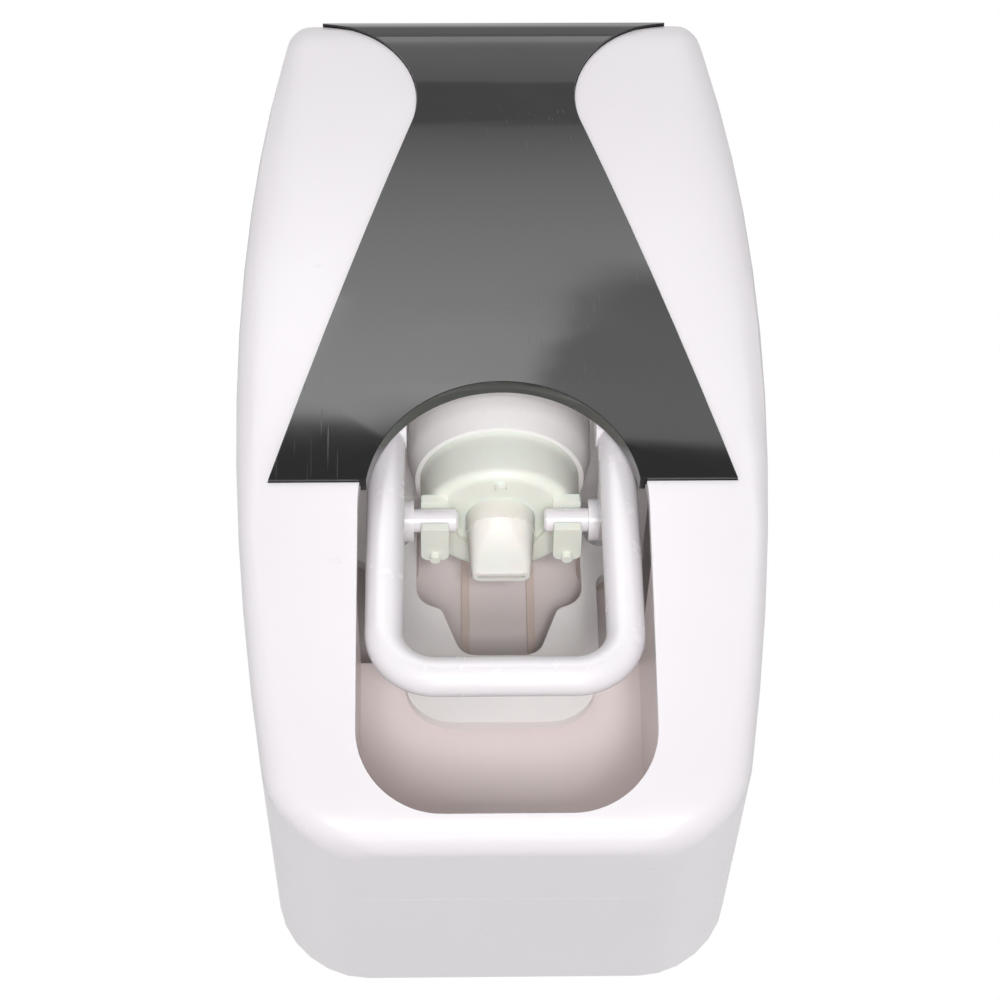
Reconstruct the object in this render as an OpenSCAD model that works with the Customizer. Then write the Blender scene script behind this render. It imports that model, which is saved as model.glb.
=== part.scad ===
/* [Casing] */
// Height of the casing
body_h = 145; // [130:1:165]
// Half of the casing's width at its widest height
side_half = 37.4; // [36:0.2:42]
// Height above the bottom at which the casing is widest
widest_z = 74; // [60:1:90]
// Radius of the sides' bulge above the widest height
side_r_up = 430; // [400:10:900]
// Radius of the sides' bulge below the widest height
side_r_low = 400; // [360:10:900]
// Greatest distance of the front from the wall
front_depth = 55; // [54:0.5:60]
// Height at which the front stands out the most
front_z = 50; // [40:1:60]
// Radius of the front's bulge
front_r = 312; // [280:4:500]
// Radius of the casing's lower corners, seen from the front
corner_r = 11; // [6:0.5:14]
// Radius over which the front rolls into the top
roll_r = 9; // [7:0.5:11]
// Wall thickness of the casing shells
wall = 2.2; // [1.8:0.1:2.8]
// Distance of the parting plane behind the front
parting_inset = 23; // [22:0.5:25]
// Thickness of the foam pad behind the casing
pad_t = 1; // [0.6:0.1:2]

/* [Front panel and opening] */
// Half width of the brush opening
opening_half = 20; // [19.6:0.1:21.5]
// Height of the opening's lower edge
opening_z = 4.3; // [3.5:0.1:7]
// Radius of the opening's lower corners
opening_corner_r = 11.5; // [6:0.5:14]
// Height of the centre of the opening's round top
arch_z = 48.8; // [46:0.2:52]
// Radius of the arch in the black panel
arch_r = 19.1; // [18:0.1:19.5]
// Height of the panel's lower edge
panel_z = 52; // [50:0.5:58]
// Half width of the panel's lower edge
panel_half = 32.3; // [29:0.1:33.5]
// Radius of the round notches that form the panel's waist
notch_r = 19.5; // [15:0.5:21]
// Distance of the waist below the top
waist_drop = 21.5; // [19:0.5:29]
// Half width of the waist
waist_half = 12; // [9:0.5:15]
// Thickness of the panel
panel_t = 1.8; // [1.4:0.1:2]
// Amount by which the panel stands out of the cover
panel_proud = 0.6; // [0.3:0.1:0.9]

/* [Pump] */
// Tilt of the pump, with its lower end towards the front
tilt = 8; // [4:0.5:10]
// Distance of the cup's end face behind the front
pump_inset = 24; // [23:0.5:25]
// Height of the centre of the cup's end face
pump_z = 58.2; // [57:0.1:61]
// Radius of the sliding cup
cup_r = 11.6; // [11:0.1:12]
// Wall thickness of the cup
cup_wall = 1.6; // [1.2:0.1:2]
// Height of the cup
cup_h = 14; // [12:0.5:15]
// Length of the cup that shows below the pump's barrel
cup_show = 8; // [7:0.5:9]
// Outer radius of the pump's barrel
barrel_r = 13.5; // [13.2:0.1:14]
// Height of the valve plate above the cup's end face
valve_z = 23; // [22.5:0.5:25]
// Radial clearance of the cup in the barrel
cup_fit = 0.06; // [0.03:0.01:0.1]
// Radius of the neck bore in the rubber adapter
neck_r = 6.5; // [5:0.1:8]

/* [Lever] */
// Diameter of the lever's round bar
bar_d = 5.3; // [4.6:0.1:5.6]
// Distance between the middles of the lever's two arms
arm_span = 32.6; // [31.8:0.1:32.8]
// Distance of the bar's middle behind the front
bar_inset = 2.5; // [2:0.5:5]
// Height of the bar's middle
bar_z = 23.5; // [22:0.5:30]
// Radius of the lever's lower corners, to the middle of the bar
bend_r = 7; // [5:0.5:9]
// Distance of the lever's pivot behind the front
pivot_inset = 8.5; // [8:0.5:9.5]
// Height of the lever's pivot
pivot_z = 66; // [65:0.5:68]
// Diameter of the pivot pins
pivot_d = 3; // [2.5:0.1:3.4]
// Diameter of the lift pins that work the cup
lift_d = 3.4; // [3:0.1:3.6]
// Distance of the lift pins in front of the pump's axis
lift_fwd = 4.6; // [4.2:0.1:5]
// Distance of the lift pins below the cup's end face
lift_drop = 2.7; // [2.6:0.1:3.4]
// Angle through which the lever is pressed
press_angle = 20; // [10:1:20]

/* [Hidden] */
$fn = 48;
eps = 0.01;

// Places that follow the front and the top
parting_y = front_depth - parting_inset;
pump_y = front_depth - pump_inset;
bar_y = front_depth - bar_inset;
pivot_y = front_depth - pivot_inset;
waist_z = body_h - waist_drop;

// Clearances between the pieces
seat_gap = 0.1;
run_gap = 0.05;
move_gap = 0.3;

// The wall mount's centre is the origin, so every module is drawn from the bottom and lowered
mount_z = body_h / 2;

// Heights of the rings of the casing's outer and inner skins
function low_rings(r) = [for (a = [0:15:75]) r * (1 - cos(a))];
function high_rings(r) = [for (a = [75:-15:15]) r * (1 - cos(a))];
function mid_rings(lo, hi, n) = [for (i = [0:n]) lo + (hi - lo) * i / n];

// Half width of the casing's outline at a height, before its corners are rounded
function bulge(d, r) = r - sqrt(r * r - d * d);
function side_at(z) = side_half - bulge(z - widest_z, z > widest_z ? side_r_up : side_r_low);
// Distance of the front from the wall at a height, before its edges are rounded
function front_at(z) = front_depth - bulge(z - front_z, front_r);
// What a round corner of radius r takes away at distance d from the corner's edge
function round_off(d, r) = d >= r ? 0 : r - sqrt(r * r - pow(r - max(d, 0), 2));

// The roll at the top is tangent to the front's bulge and to the top
roll_y = front_depth - front_r + sqrt(pow(front_r - roll_r, 2) - pow(body_h - roll_r - front_z, 2));
roll_touch_z = front_z + (body_h - roll_r - front_z) * front_r / (front_r - roll_r);
function profile_at(z, t = 0) =
    z > roll_touch_z
        ? roll_y + sqrt(max(pow(roll_r - t, 2) - pow(z - (body_h - roll_r), 2), 0))
        : front_at(z) - t;
front_foot_r = 4;
top_side_r = 4;

// Rounding of the casing's long front edges: narrow at the middle, wide at the upper lobes
function edge_x(z) = z < front_z ? 5.5 - 3 * z / front_z
                                 : 2.5 + 8 * sin(180 * (z - front_z) / (body_h - front_z));
edge_y = 3.4;

// One ring of the casing's skin at height z, drawn in by t from the outer surface
function skin_ring(z, t, steps) =
    let (half = side_at(z) - t - round_off(z - t, corner_r - t) - round_off(body_h - t - z, top_side_r - t),
         deep = profile_at(z, t) - round_off(z - t, front_foot_r - t),
         rx = max(edge_x(z) - t, 0.8),
         ry = max(edge_y - t, 0.8),
         back = pad_t + t)
    concat([[half, -back, z]],
           [for (i = [0:steps]) let (a = 90 * i / steps)
               [half - rx + rx * cos(a), -(deep - ry + ry * sin(a)), z]],
           [for (i = [steps:-1:0]) let (a = 90 * i / steps)
               [-(half - rx + rx * cos(a)), -(deep - ry + ry * sin(a)), z]],
           [[-half, -back, z]]);

// Closed solid through a stack of rings that all have the same number of points
module loft(rings) {
    n = len(rings[0]);
    m = len(rings);
    polyhedron(
        points = [for (ring = rings) each ring],
        faces = concat(
            [[for (i = [n - 1:-1:0]) i]],
            [for (j = [0:m - 2]) for (i = [0:n - 1])
                let (k = (i + 1) % n) each [[j * n + i, (j + 1) * n + k, (j + 1) * n + i],
                                            [j * n + i, j * n + k, (j + 1) * n + k]]],
            [[for (i = [0:n - 1]) (m - 1) * n + i]]),
        convexity = 4);
}

outer_z = concat(low_rings(corner_r), mid_rings(corner_r, body_h - roll_r, 11),
                 [for (d = high_rings(roll_r)) body_h - d], [body_h]);
inner_z = concat([for (d = low_rings(corner_r - wall)) wall + d],
                 mid_rings(corner_r, body_h - roll_r, 7),
                 [for (d = high_rings(roll_r - wall)) body_h - wall - d], [body_h - wall]);

// The casing's whole outer form, and the space inside its walls
module casing_form() loft([for (z = outer_z) skin_ring(z, 0, 5)]);
module casing_space() loft([for (z = inner_z) skin_ring(z, wall, 3)]);

// Half spaces in front of and behind the parting plane
big = 400;
module front_half(y = parting_y) translate([-big / 2, -y - big, -big / 2]) cube(big);
module rear_half(y = parting_y) translate([-big / 2, -y, -big / 2]) cube(big);

module placed() translate([0, 0, -mount_z]) children();
module in_pump() translate([0, -pump_y, pump_z]) rotate([-tilt, 0, 0]) children();
module both_sides() {
    children();
    mirror([1, 0, 0]) children();
}
// A bar along X, and a rod along Y that grows towards the front
module x_rod(r, x0, x1) translate([x0, 0, 0]) rotate([0, 90, 0]) cylinder(r = r, h = x1 - x0);
module y_rod(r, y0, y1) translate([0, -y0, 0]) rotate([90, 0, 0]) cylinder(r = r, h = y1 - y0);

// Outline drawn in distance from the wall and z, extruded to a half width on both sides
module across(half) rotate([90, 0, -90]) translate([0, 0, -half]) linear_extrude(2 * half) children();

// Outline drawn in x and z, extruded from one distance in front of the wall to another
module facing(y0, y1) translate([0, -y0, 0]) rotate([90, 0, 0]) linear_extrude(y1 - y0) children();

// Outline with round corners: each entry holds a corner and its radius, and 0 leaves it sharp
arc_steps = 5;
function unit(v) = v / norm(v);
function corner(a, b, c, r) = r == 0 ? [b] :
    let (u = unit(a - b), v = unit(c - b), half = acos(u * v) / 2,
         m = b + unit(u + v) * r / sin(half),
         s = b + u * r / tan(half) - m, e = b + v * r / tan(half) - m,
         from = atan2(s[1], s[0]), turn = atan2(cross(s, e), s * e))
    [for (i = [0:arc_steps]) m + r * [cos(from + turn * i / arc_steps), sin(from + turn * i / arc_steps)]];
function flat(p) = [p[0], p[1]];
function rounded(list) = let (n = len(list))
    [for (i = [0:n - 1])
        each corner(flat(list[(i + n - 1) % n]), flat(list[i]), flat(list[(i + 1) % n]), list[i][2])];
// The same outline on both sides of the middle, from the points of its right half
function mirrored(list) = concat(list,
    [for (i = [len(list) - 1:-1:0]) [-list[i][0], list[i][1], list[i][2]]]);

// Dowels that guide and hold the front cover
peg_r = 1.5;
peg_boss_r = 3;
peg_len = 7;
// The bosses are grown into the side walls by peg_sunk
peg_sunk = 0.4;
peg_low_z = 24;
peg_top_drop = 14;
function peg_x(z) = side_at(z) - wall - peg_boss_r + peg_sunk;
peg_low = [peg_x(peg_low_z), peg_low_z];
peg_high = [peg_x(body_h - peg_top_drop), body_h - peg_top_drop];
peg_places = [peg_low, peg_high, [-peg_low[0], peg_low[1]], [-peg_high[0], peg_high[1]]];

// Brush opening, with a margin that makes it wider all round
module opening_outline(margin = 0) {
    half = opening_half + margin;
    low = opening_z - margin;
    r = opening_corner_r + margin;
    translate([0, arch_z]) circle(r = half, $fn = 96);
    translate([-half, low + r]) square([2 * half, arch_z - low - r]);
    translate([-half + r, low]) square([2 * (half - r), r + 1]);
    for (x = [-half + r, half - r]) translate([x, low + r]) circle(r = r, $fn = 64);
}

// Panel outline: straight edges tangent to the two round notches
notch_x = waist_half + notch_r;
edge_lean = asin(notch_r / norm([notch_x - panel_half, waist_z - panel_z]))
            + atan((panel_half - notch_x) / (waist_z - panel_z));
touch = [notch_x - notch_r * cos(edge_lean), waist_z - notch_r * sin(edge_lean)];
panel_top_half = side_at(body_h) - top_side_r - 0.6;
module panel_outline(margin = 0) {
    difference() {
        union() {
            polygon([[-panel_half - margin, panel_z - margin], [panel_half + margin, panel_z - margin],
                     [touch[0] + margin, touch[1]], [-touch[0] - margin, touch[1]]]);
            translate([-panel_top_half - margin, touch[1]])
                square([2 * (panel_top_half + margin), body_h + 5 - touch[1]]);
        }
        for (x = [-notch_x, notch_x]) translate([x, waist_z]) circle(r = notch_r - margin, $fn = 96);
        translate([0, arch_z]) circle(r = arch_r - margin, $fn = 96);
    }
}

// The front's profile from the panel's lower edge to the parting plane, moved out by t
profile_z = concat(mid_rings(panel_z - 4, body_h - roll_r, 9), [for (d = high_rings(roll_r)) body_h - d]);
function profile_points(t) = concat(
    [for (z = profile_z) let (a = asin((z - front_z) / front_r), on_roll = z > roll_touch_z)
        on_roll ? [roll_y + (profile_at(z) - roll_y) * (roll_r + t) / roll_r,
                   body_h - roll_r + (z - body_h + roll_r) * (roll_r + t) / roll_r]
                : [front_at(z) + t * cos(a), z + t * sin(a)]],
    [[roll_y, body_h + t], [parting_y - 0.5, body_h + t]]);
function reversed(list) = [for (i = [len(list) - 1:-1:0]) list[i]];
// Band between two offsets of the front, extruded across the casing
module front_band(t0, t1) {
    across(side_half + 5) polygon(concat(profile_points(t0), reversed(profile_points(t1))));
}
module panel_solid(t0, t1, margin) {
    intersection() {
        front_band(t0, t1);
        facing(parting_y, front_depth + 10) panel_outline(margin);
    }
}
panel_in = panel_proud - panel_t;

// Pins of the panel that are pressed through the cover
pin_x = 20;
pin_rise = 22;
pin_drops = [47, 15];
panel_pins = [[-pin_x, panel_z + pin_rise], [pin_x, panel_z + pin_rise],
              for (drop = pin_drops) [0, body_h - drop]];
panel_pin_r = 1.2;

// Tube opening in the top of the rear case
tube_half = 24;
tube_y0 = 6;
tube_y1 = parting_y - 3.5;
tube_r = 8;
module tube_hole() {
    translate([0, 0, body_h - wall - 2]) linear_extrude(wall + 4) {
        for (x = [-1, 1], y = [tube_y0 + tube_r, tube_y1 - tube_r])
            translate([x * (tube_half - tube_r), -y]) circle(r = tube_r);
        translate([-tube_half, -tube_y1 + tube_r]) square([2 * tube_half, tube_y1 - tube_y0 - 2 * tube_r]);
        translate([-tube_half + tube_r, -tube_y1]) square([2 * (tube_half - tube_r), tube_y1 - tube_y0]);
    }
}

// Bracket, in the pump's own frame: z runs up the pump, -y runs to the front
plate_y = 16.6;
plate_t = 1.8;
shelf_z = 17.5;
shelf_t = 2.5;
cheek_in = arm_span / 2 + bar_d / 2 + 0.2 + move_gap + 0.15;
cheek_t = 2.4;
bracket_half = cheek_in + cheek_t;
screw_x = 15.6;
screw_z = [10.5, 28];
plate_top = 33;
flange_r = 16;
screw_r = 1.5;
head_r = 2.6;
head_h = 1.6;
// The pivot and the lift pin as seen in the pump's frame
pivot_dy = -(pivot_y - pump_y);
pivot_dz = pivot_z - pump_z;
pivot_in_pump = [pivot_dy * cos(tilt) - pivot_dz * sin(tilt), pivot_dy * sin(tilt) + pivot_dz * cos(tilt)];
lift_in_pump = [-lift_fwd, -lift_drop];
lift_world = [-pump_y + lift_in_pump[0] * cos(tilt) + lift_in_pump[1] * sin(tilt),
              pump_z - lift_in_pump[0] * sin(tilt) + lift_in_pump[1] * cos(tilt)];
// How far the cup is lifted, and how far the pins run back in its hooks, at full press
arm_dy = lift_in_pump[0] - pivot_in_pump[0];
arm_dz = lift_in_pump[1] - pivot_in_pump[1];
cup_stroke = arm_dy * sin(press_angle) + arm_dz * cos(press_angle) - arm_dz;
pin_run = arm_dy * cos(press_angle) - arm_dz * sin(press_angle) - arm_dy;
echo(cup_stroke = cup_stroke, pin_run = pin_run, lift_world = lift_world);

// Free length of the shortest boss behind the plate, of which the screws take two thirds
boss_len = pump_y - (plate_y + plate_t) * cos(tilt) - screw_z[1] * sin(tilt) - pad_t - wall;
screw_grip = boss_len * 2 / 3;
module screw_axes() for (x = [-screw_x, screw_x], z = screw_z) translate([x, 0, z]) children();

// Brush well
well_margin = 0.6;
well_t = 1.4;
well_top = 44;
well_post_x = 12;
well_post_z = 22;
well_post_r = 3;
well_seat = 0.25;
// Distance of the bib's rear face from the wall at the height of the well's top
bib_back = plate_y + plate_t;
bib_rise = (well_top - pump_z + bib_back * sin(tilt)) / cos(tilt);
bib_rear_y = pump_y - bib_back * cos(tilt) - bib_rise * sin(tilt);
// The well's back wall stands just behind the bib
well_back = bib_rear_y - well_seat - well_t;

// Rear case: the half of the casing behind the parting plane
case_back = pad_t + wall;
rib_x = 5;
rib_w = 1.2;
rib_h = 1.4;
rib_z = 47;
rib_top_drop = 13;
boss_r = 3.4;
module back_case() {
    color("#f0eaef") placed() difference() {
        union() {
            difference() {
                intersection() {
                    casing_form();
                    rear_half();
                }
                casing_space();
            }
            // Sockets for the cover's dowels
            for (p = peg_places) translate([p[0], 0, p[1]]) y_rod(peg_boss_r, case_back - 0.5, parting_y);
            // Bosses behind the bracket's plate
            difference() {
                in_pump() screw_axes() y_rod(boss_r, -pump_y - boss_r, -plate_y - plate_t);
                translate([-big / 2, -pad_t - wall / 2, -big / 2]) cube(big);
            }
            // Posts behind the brush well
            for (x = [-well_post_x, well_post_x])
                translate([x, 0, well_post_z]) y_rod(well_post_r, case_back - 0.5, well_back);
            // Ribs that stiffen the rear wall
            for (x = [-rib_x, rib_x])
                translate([x - rib_w / 2, -case_back - rib_h, rib_z])
                    cube([rib_w, rib_h + wall / 2, body_h - rib_top_drop - rib_z]);
        }
        tube_hole();
        for (p = peg_places) translate([p[0], 0, p[1]])
            y_rod(peg_r + run_gap, parting_y - peg_len - 1, parting_y + 1);
        in_pump() screw_axes() y_rod(screw_r, -plate_y - plate_t - screw_grip - 0.2, -plate_y);
    }
}

// Foam pad with adhesive, in the middle of the rear face
pad_half = 23;
pad_h = 84;
module wall_pad() {
    color("#8f9296") placed() translate([-pad_half, -pad_t, mount_z - pad_h / 2])
        cube([2 * pad_half, pad_t, pad_h]);
}

// Front cover: the half of the casing in front of the parting plane
module front_cover() {
    color("#f3eef3") placed() difference() {
        union() {
            difference() {
                intersection() {
                    casing_form();
                    front_half();
                }
                casing_space();
            }
            // Dowels on their bosses
            for (p = peg_places) translate([p[0], 0, p[1]]) {
                y_rod(peg_boss_r, parting_y, profile_at(p[1]) - wall + 0.6);
                y_rod(peg_r, parting_y - peg_len, parting_y + 1);
            }
        }
        facing(front_depth - 12, front_depth + 5) opening_outline();
        panel_solid(panel_in, 3, seat_gap);
        for (p = panel_pins) translate([p[0], 0, p[1]])
            y_rod(panel_pin_r, front_depth - 20, front_depth + 5);
    }
}

// Gloss black panel on the front, with a lip that lines the arch of the opening
lip_depth = 2.5;
module arch_lip() {
    intersection() {
        front_band(-lip_depth, panel_in + 0.2);
        facing(front_depth - 8, front_depth + 2) difference() {
            circle_at_arch(opening_half - seat_gap);
            circle_at_arch(arch_r);
            translate([-big / 2, panel_z - big]) square(big);
        }
    }
}
module circle_at_arch(r) translate([0, arch_z]) circle(r = r, $fn = 96);
module face_panel() {
    color("#1c1b1f") placed() union() {
        panel_solid(panel_in, panel_proud, 0);
        arch_lip();
        for (p = panel_pins) translate([p[0], 0, p[1]])
            y_rod(panel_pin_r, profile_at(p[1]) - wall - 0.6, profile_at(p[1]) + panel_in + 0.4);
    }
}

// Bowl behind the opening that the brush goes into
module brush_well() {
    color("#e2d6d3") placed() difference() {
        intersection() {
            union() {
                facing(well_back, front_depth) opening_outline(well_margin + well_t);
                translate([-opening_half - well_margin - well_t, -front_depth, arch_z - 20])
                    cube([2 * (opening_half + well_margin + well_t), front_depth - well_back, 40]);
            }
            casing_reach();
            translate([-big / 2, -big / 2, well_top - big]) cube(big);
        }
        facing(well_back + well_t, front_depth + 5) opening_outline(well_margin);
    }
}
// Space that is clear of the cover's inside, for pieces that stand behind its front
module casing_reach() {
    across(side_half + 5)
        polygon(concat([for (z = mid_rings(0, well_top + 4, 8))
                           [profile_at(z) - round_off(z, front_foot_r) - wall - move_gap, z]],
                       [[0, well_top + 4], [0, 0]]));
}

// Cut-out through the bracket's bib, stepped as in the real piece
bib_low = -23.5;
bib_cut = -11.8;
bib_half = 14.6;
bib_round = 7;
module bib_outline() {
    polygon(rounded(mirrored([[bib_half - 1.6, bib_low, bib_round], [bib_half, bib_low + 11, 4],
                              [bib_half, 2, 2], [bracket_half, 6, 0], [bracket_half, plate_top, 0]])));
}
module bib_cut_outline() {
    polygon(rounded(mirrored([[5.7, bib_cut, 3], [8.7, bib_cut + 8.3, 1.4], [12.4, bib_cut + 9.6, 3.4],
                              [12.4, shelf_z - 3, 0]])));
}
module cheek() {
    py = pivot_in_pump[0];
    pz = pivot_in_pump[1];
    difference() {
        translate([cheek_in, 0, 0]) rotate([90, 0, 90]) linear_extrude(cheek_t) {
            polygon([[py - 4, pz], [py + 4, pz - 1.5], [plate_y + 0.5, 8], [plate_y + 0.5, shelf_z + shelf_t],
                     [py + 1, shelf_z + shelf_t], [py - 4, pz + 6]]);
            translate([py, pz]) circle(r = 4);
        }
        translate([0, py, pz]) x_rod(pivot_d / 2, cheek_in - 1, cheek_in + cheek_t + 1);
    }
}
module pump_bracket() {
    color("#ece4e6") placed() in_pump() difference() {
        union() {
            facing(-plate_y - plate_t, -plate_y) difference() {
                bib_outline();
                bib_cut_outline();
            }
            translate([-bracket_half, pivot_in_pump[0] + 1, shelf_z])
                cube([2 * bracket_half, plate_y + plate_t - pivot_in_pump[0] - 1, shelf_t]);
            both_sides() cheek();
        }
        cylinder(r = barrel_r + seat_gap, h = big);
        for (x = [-1, 1]) translate([x * barrel_screw_x, 0, shelf_z - 1])
            cylinder(r = barrel_screw_r, h = shelf_t + 2);
        screw_axes() y_rod(screw_r + 0.2, -plate_y - plate_t - 1, -plate_y + 1);
    }
}
module bracket_screws() {
    color("#b9bcc0") placed() in_pump() screw_axes() {
        y_rod(screw_r, -plate_y - plate_t - screw_grip, -plate_y + eps);
        y_rod(head_r, -plate_y, -plate_y + head_h);
    }
}

// Barrel of the pump, with its bore, its flange and a seat for the valve plate
barrel_top = valve_z + 5;
barrel_screw_x = 18.4;
barrel_screw_r = 1.2;
flange_t = 2;
ear_r = 2.8;
plate_r = cup_r + 0.6;
module pump_barrel() {
    color("#f1edf0") placed() in_pump() difference() {
        union() {
            translate([0, 0, cup_show]) cylinder(r1 = cup_r + 0.8, r2 = barrel_r, h = 4);
            translate([0, 0, cup_show + 4]) cylinder(r = barrel_r, h = barrel_top - cup_show - 4);
            translate([0, 0, shelf_z + shelf_t]) {
                cylinder(r = flange_r, h = flange_t);
                both_sides() {
                    translate([barrel_screw_x, 0, 0]) cylinder(r = ear_r, h = flange_t);
                    translate([flange_r - ear_r, -ear_r, 0])
                        cube([barrel_screw_x - flange_r + ear_r, 2 * ear_r, flange_t]);
                }
            }
        }
        translate([0, 0, cup_show - 1]) cylinder(r = cup_r + cup_fit, h = valve_z - cup_show + 1);
        translate([0, 0, valve_z - eps]) cylinder(r = plate_r + seat_gap, h = barrel_top);
        for (x = [-1, 1]) translate([x * barrel_screw_x, 0, shelf_z])
            cylinder(r = barrel_screw_r + 0.2, h = shelf_t + flange_t + 1);
    }
}
module barrel_screws() {
    color("#b9bcc0") placed() in_pump() for (x = [-1, 1])
        translate([x * barrel_screw_x, 0, shelf_z + shelf_t + flange_t]) {
            cylinder(r = barrel_screw_r + 1, h = barrel_screw_r + 0.2);
            translate([0, 0, 0.2 - flange_t - shelf_t]) cylinder(r = barrel_screw_r, h = shelf_t + flange_t);
        }
}

// Plate with the inlet holes, clamped on the barrel's inner step
valve_plate_t = 2;
stem_r = 1.2;
inlet_r = 1.2;
inlet_ring_r = 4;
module valve_plate() {
    color("#e9e6e4") placed() in_pump() translate([0, 0, valve_z]) difference() {
        cylinder(r = plate_r, h = valve_plate_t);
        translate([0, 0, -1]) cylinder(r = stem_r + run_gap, h = valve_plate_t + 2);
        for (a = [0:60:300]) rotate([0, 0, a]) translate([inlet_ring_r, 0, -1])
            cylinder(r = inlet_r, h = valve_plate_t + 2);
    }
}
// Umbrella valve that hangs under the plate
valve_lip_r = 6.2;
valve_lip_t = 0.8;
module inlet_valve() {
    color("#c9c4b8") placed() in_pump() translate([0, 0, valve_z]) {
        translate([0, 0, -valve_lip_t]) cylinder(r = valve_lip_r, h = valve_lip_t);
        translate([0, 0, -valve_lip_t / 2]) cylinder(r = stem_r, h = valve_plate_t + valve_lip_t / 2);
        translate([0, 0, valve_plate_t]) cylinder(r1 = 1.5 * stem_r, r2 = 0.75 * stem_r, h = stem_r);
    }
}

// Socket ring that is pushed over the barrel and holds the rubber adapter
socket_r = 15.6;
socket_z = shelf_z + shelf_t + flange_t;
socket_rise = 7;
socket_top = barrel_top + socket_rise;
module tube_socket() {
    color("#f1edf0") placed() in_pump() difference() {
        translate([0, 0, socket_z]) cylinder(r = socket_r, h = socket_top - socket_z);
        translate([0, 0, socket_z - 1]) cylinder(r = barrel_r + run_gap, h = barrel_top - socket_z + 1);
        translate([0, 0, barrel_top - eps]) cylinder(r = plate_r + 0.4, h = socket_rise + 1);
    }
}
// Soft funnel that grips the neck of the toothpaste tube
adapter_low = valve_z + valve_plate_t;
adapter_rise = 4;
adapter_top = socket_top + adapter_rise;
adapter_wall = 4.5;
ring_t = 1.6;
module tube_adapter() {
    color("#d8d3cb") placed() in_pump() rotate_extrude() polygon([
        [neck_r - 1.5, adapter_low], [plate_r, adapter_low], [plate_r, socket_top - 2],
        [neck_r + adapter_wall, socket_top], [neck_r + 0.82 * adapter_wall, adapter_top],
        [neck_r + 1.6, adapter_top], [neck_r, adapter_top - 2], [neck_r, adapter_low + 3],
        [neck_r - 1.5, adapter_low + 2]]);
}
module adapter_ring() {
    color("#e9e6e4") placed() in_pump() translate([0, 0, socket_top]) difference() {
        cylinder(r = socket_r - 0.6, h = ring_t);
        translate([0, 0, -1]) cylinder(r = neck_r + adapter_wall + run_gap, h = ring_t + 2);
    }
}

// Sliding cup with the two hooks that the lever's lift pins sit in
floor_t = 2;
nozzle_hole_r = 5.05;
recess_r = 6.8;
retainer_r = 6.9;
collet_r = 7.8;
collet_h = 2.4;
hook_in = 7.5;
hook_w = 4;
slot_half = lift_d / 2 + 0.2;
jaw_t = 1.3;
hook_back = lift_in_pump[0] + pin_run + slot_half + 1.3;
hook_front = 1.9;
hook_round = 1.2;
nub_r = 0.75;
nub_len = 1;
module hook() {
    z = lift_in_pump[1];
    y = lift_in_pump[0];
    low = z - slot_half - jaw_t;
    intersection() {
        translate([hook_in, 0, 0]) rotate([90, 0, 90]) linear_extrude(hook_w) difference() {
            polygon([[y - hook_front, 0.5], [hook_back, 0.5], [hook_back, low], [y - hook_front, low]]);
            translate([y + pin_run, z]) circle(r = slot_half);
            translate([y - 4, z - slot_half]) square([4 + pin_run, 2 * slot_half]);
        }
        translate([0, 0, low - 1]) linear_extrude(2 - low)
            polygon(rounded([[hook_in, y - hook_front, 0.4], [hook_in + hook_w, y - hook_front, 0.4],
                             [hook_in + hook_w, hook_back, hook_round], [hook_in, hook_back, hook_round]]));
    }
    translate([hook_in + hook_w / 2, hook_back - 1.3, low - nub_len]) cylinder(r = nub_r, h = nub_len + 0.2);
}
// Cup's outer form: its lower edge is rounded over cup_edge
cup_edge = 1.6;
function cup_profile() = concat([[0, 0]],
    [for (i = [0:arc_steps]) let (a = 90 * i / arc_steps)
        [cup_r - cup_edge + cup_edge * sin(a), cup_edge - cup_edge * cos(a)]],
    [[cup_r, cup_h], [0, cup_h]]);
module pump_cup() {
    color("#e6ecdb") placed() in_pump() difference() {
        union() {
            rotate_extrude() polygon(cup_profile());
            both_sides() hook();
            translate([0, cup_edge + 0.8 - cup_r, -nub_len]) cylinder(r = 0.85, h = nub_len + 0.4);
        }
        translate([0, 0, floor_t]) difference() {
            cylinder(r = cup_r - cup_wall, h = cup_h);
            cylinder(r = collet_r, h = collet_h);
        }
        translate([0, 0, floor_t]) cylinder(r = retainer_r, h = cup_h);
        translate([0, 0, -5]) cylinder(r = nozzle_hole_r, h = 10);
        translate([0, 0, -5]) cylinder(r = recess_r, h = 5.9);
    }
}
seal_h = 2;
module cup_seal() {
    color("#b9b4a8") placed() in_pump() translate([0, 0, cup_h]) difference() {
        cylinder(r = cup_r, h = seal_h);
        translate([0, 0, -1]) cylinder(r = cup_r - 1.4, h = 4);
    }
}

// Duckbill nozzle: a round neck that flattens into two lips
neck_r1 = nozzle_hole_r - 0.05;
neck_len = 2.2;
bill_half = 4.3;
bill_deep = 1.2;
bill_len = 9.5;
bill_round = 0.6;
bill_steps = 6;
bill_slit = 0.12;
bore_r = 3;
bore_half = 3.4;
nozzle_flange_r = 6.4;
nozzle_flange_t = 1;
bill_turn = 90;
bill_top = 0.2 - neck_len;
bill_r = neck_r1 - 0.1;
// One ring of the bill: half width a, half depth b, with round corners
function bill_ring(z, a, b) = let (r = 0.9 * b)
    [for (q = [0:3]) for (i = [0:4]) let (t = bill_turn * (q + i / 4))
        [(q == 0 || q == 3 ? a - r : r - a) + r * cos(t), (q < 2 ? r - b : b - r) - r * sin(t), z]];
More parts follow.
